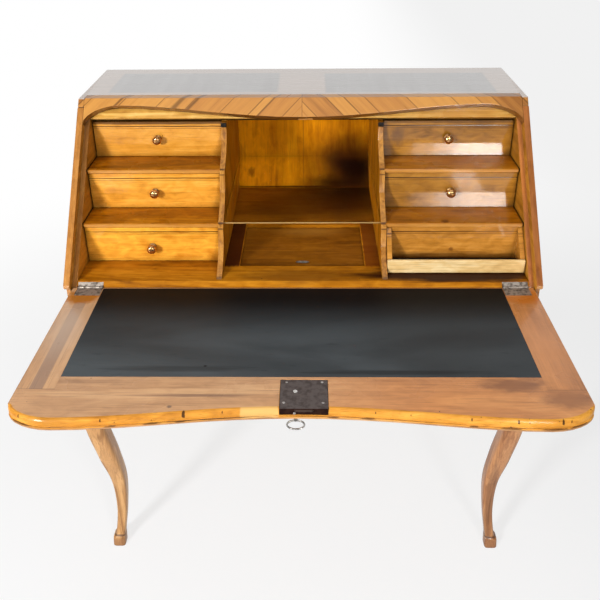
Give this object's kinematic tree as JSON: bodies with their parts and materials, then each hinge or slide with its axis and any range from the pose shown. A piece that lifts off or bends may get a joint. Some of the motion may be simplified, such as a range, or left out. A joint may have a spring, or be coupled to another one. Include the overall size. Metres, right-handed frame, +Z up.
{
  "type": "slant-front secretaire",
  "caption": "Slant-front writing desk on curved legs: a hinged fall front with a leather writing surface, a lock and key, and inside it small drawers, shelves and a covered well.",
  "frame": {"origin": "on the floor under the middle of the opened desk's width and depth", "axes": "+Z up, front of the desk towards -Y, +X to the right of a person sitting at it"},
  "size_m": [0.9562, 0.8514, 1.043],
  "materials": {
    "walnut": "polished",
    "walnut_band": "polished veneer",
    "walnut_leg": "waxed",
    "walnut_inside": "waxed",
    "pine": "bare",
    "brass": "polished",
    "steel": "worn",
    "iron": "dark, worn",
    "leather": "satin",
    "glass": "clear"
  },
  "bodies": {
    "case": {"side_panel_left": "walnut", "side_panel_right": "walnut", "top_board": "walnut", "back_panel": "walnut_inside", "slope_rail": "walnut_band", "lid_stop_rail": "walnut_inside", "desk_floor": "walnut_inside", "well_box": "pine", "lower_shelf_left": "walnut_inside", "lower_shelf_right": "walnut_inside", "upper_shelf_left": "walnut_inside", "upper_shelf_right": "walnut_inside", "glass_shelf": "glass", "partition_left": "walnut_inside", "partition_right": "walnut_inside", "front_rail": "walnut", "apron_front": "walnut", "frieze_bottom": "pine", "loper_guide_left": "pine", "loper_guide_right": "pine", "leg_front_left": "walnut_leg", "leg_front_right": "walnut_leg", "leg_rear_left": "walnut_leg", "leg_rear_right": "walnut_leg", "hinge_case_leaf_left": "steel", "hinge_case_leaf_right": "steel"},
    "lid": {"lid_board": "walnut", "writing_leather": "leather", "lock_case": "iron", "hinge_lid_leaf_left": "steel", "hinge_lid_leaf_right": "steel"},
    "bolt": {"lock_bolt": "steel"},
    "key": {"key": "steel"},
    "well_cover": {"well_lid": "walnut_inside"},
    "tray_drawer": {"tray_drawer_box": "walnut_inside", "tray_drawer_rail": "pine"},
    "loper_left": {"loper_left": "walnut"},
    "loper_right": {"loper_right": "walnut"},
    "top_drawer_left": {"top_drawer_left_front": "walnut_inside", "top_drawer_left_box": "pine", "top_drawer_left_knob": "brass"},
    "middle_drawer_left": {"middle_drawer_left_front": "walnut_inside", "middle_drawer_left_box": "pine", "middle_drawer_left_knob": "brass"},
    "bottom_drawer_left": {"bottom_drawer_left_front": "walnut_inside", "bottom_drawer_left_box": "pine", "bottom_drawer_left_knob": "brass"},
    "top_drawer_right": {"top_drawer_right_front": "walnut_inside", "top_drawer_right_box": "pine", "top_drawer_right_knob": "brass"},
    "middle_drawer_right": {"middle_drawer_right_front": "walnut_inside", "middle_drawer_right_box": "pine", "middle_drawer_right_knob": "brass"},
    "frieze_drawer_left": {"frieze_drawer_left_front": "walnut", "frieze_drawer_left_box": "pine", "frieze_drawer_left_knob": "brass"},
    "frieze_drawer_right": {"frieze_drawer_right_front": "walnut", "frieze_drawer_right_box": "pine", "frieze_drawer_right_knob": "brass"}
  },
  "joints": [
    {"name": "lid_hinge", "type": "hinge", "parent": "case", "child": "lid", "pos_m": [0, -0.04836, 0.726], "axis": [-1, 0, 0], "range_deg": [0, 129.2]},
    {"name": "key_turn", "type": "hinge", "parent": "lid", "child": "key", "pos_m": [-0.007, -0.35574, 0.69], "axis": [0, 0, 1], "range_deg": [0, 180]},
    {"name": "bolt_slide", "type": "slide", "parent": "lid", "child": "bolt", "axis": [0, -1, 0], "range_m": [0, 0.009]},
    {"name": "well_lid_slide", "type": "slide", "parent": "case", "child": "well_cover", "axis": [0, 1, 0], "range_m": [0, 0.15]},
    {"name": "tray_drawer_slide", "type": "slide", "parent": "case", "child": "tray_drawer", "axis": [0, 1, 0], "range_m": [-0.25, 0]},
    {"name": "loper_slide_left", "type": "slide", "parent": "case", "child": "loper_left", "axis": [0, 1, 0], "range_m": [0, 0.26]},
    {"name": "loper_slide_right", "type": "slide", "parent": "case", "child": "loper_right", "axis": [0, 1, 0], "range_m": [0, 0.26]},
    {"name": "top_drawer_left_slide", "type": "slide", "parent": "case", "child": "top_drawer_left", "axis": [0, 1, 0], "range_m": [-0.13, 0]},
    {"name": "middle_drawer_left_slide", "type": "slide", "parent": "case", "child": "middle_drawer_left", "axis": [0, 1, 0], "range_m": [-0.19, 0]},
    {"name": "bottom_drawer_left_slide", "type": "slide", "parent": "case", "child": "bottom_drawer_left", "axis": [0, 1, 0], "range_m": [-0.25, 0]},
    {"name": "top_drawer_right_slide", "type": "slide", "parent": "case", "child": "top_drawer_right", "axis": [0, 1, 0], "range_m": [-0.13, 0]},
    {"name": "middle_drawer_right_slide", "type": "slide", "parent": "case", "child": "middle_drawer_right", "axis": [0, 1, 0], "range_m": [-0.19, 0]},
    {"name": "frieze_drawer_left_slide", "type": "slide", "parent": "case", "child": "frieze_drawer_left", "axis": [0, 1, 0], "range_m": [-0.3, 0]},
    {"name": "frieze_drawer_right_slide", "type": "slide", "parent": "case", "child": "frieze_drawer_right", "axis": [0, 1, 0], "range_m": [-0.3, 0]}
  ],
  "couplings": [
    {"joint": "key_turn", "follows": "bolt_slide", "rad_per_m": 349.06}
  ]
}
